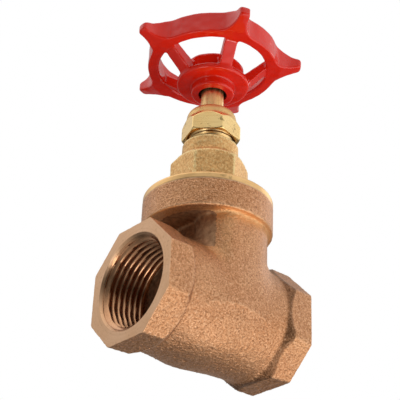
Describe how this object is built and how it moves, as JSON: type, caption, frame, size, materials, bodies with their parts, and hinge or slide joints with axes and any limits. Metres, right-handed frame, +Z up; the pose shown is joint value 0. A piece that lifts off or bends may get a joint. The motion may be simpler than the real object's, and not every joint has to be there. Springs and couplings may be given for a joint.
{
  "type": "globe valve",
  "caption": "Threaded bronze globe valve with octagonal ends, a screwed bonnet, a packed rising stem and a lobed red handwheel that turns it.",
  "frame": {"origin": "where the pipe axis crosses the stem axis, at the middle of the body", "axes": "+X along the flow from inlet to outlet, +Z up the stem towards the handwheel, +Y completes the right-handed set"},
  "size_m": [0.0525, 0.0524, 0.1028],
  "materials": {
    "cast_bronze": "sand-cast, unpolished",
    "cast_brass": "shot-blasted, matt",
    "machined_brass": "machined",
    "stem_bronze": "turned",
    "red_paint": "gloss",
    "steel": "zinc plated",
    "plate": "satin, blank",
    "seat_plastic": "smooth",
    "packing": "matt",
    "gasket": "matt"
  },
  "bodies": {
    "valve_body": {"body": "cast_bronze", "seat_ring": "machined_brass", "bonnet_gasket": "gasket", "bonnet": "cast_brass", "packing_washer": "machined_brass", "packing_ring_lower": "packing", "packing_ring_middle": "packing", "packing_ring_upper": "packing"},
    "disc": {"disc_holder": "machined_brass", "seat_disc": "seat_plastic", "seat_disc_washer": "steel", "seat_disc_nut": "machined_brass", "disc_retaining_nut": "machined_brass"},
    "spindle": {"stem": "stem_bronze", "handwheel": "red_paint", "identification_plate": "plate", "handwheel_washer": "steel", "handwheel_nut": "steel"},
    "gland": {"gland_follower": "machined_brass"},
    "gland_nut": {"gland_nut": "machined_brass"}
  },
  "joints": [
    {"name": "disc_lift", "type": "slide", "parent": "valve_body", "child": "disc", "axis": [0, 0, 1], "range_m": [0, 0.0065]},
    {"name": "stem_turn", "type": "hinge", "parent": "disc", "child": "spindle", "pos_m": [0, 0, 0.06], "axis": [0, 0, 1], "range_deg": [0, 1170]},
    {"name": "gland_slide", "type": "slide", "parent": "valve_body", "child": "gland", "axis": [0, 0, 1], "range_m": [0, 0.003]},
    {"name": "gland_nut_turn", "type": "hinge", "parent": "gland", "child": "gland_nut", "pos_m": [0, 0, 0.058], "axis": [0, 0, 1], "range_deg": [0, 720]}
  ],
  "couplings": [
    {"joint": "disc_lift", "follows": "stem_turn", "m_per_rad": 0.00031831},
    {"joint": "gland_slide", "follows": "gland_nut_turn", "m_per_rad": 0.00023873}
  ]
}
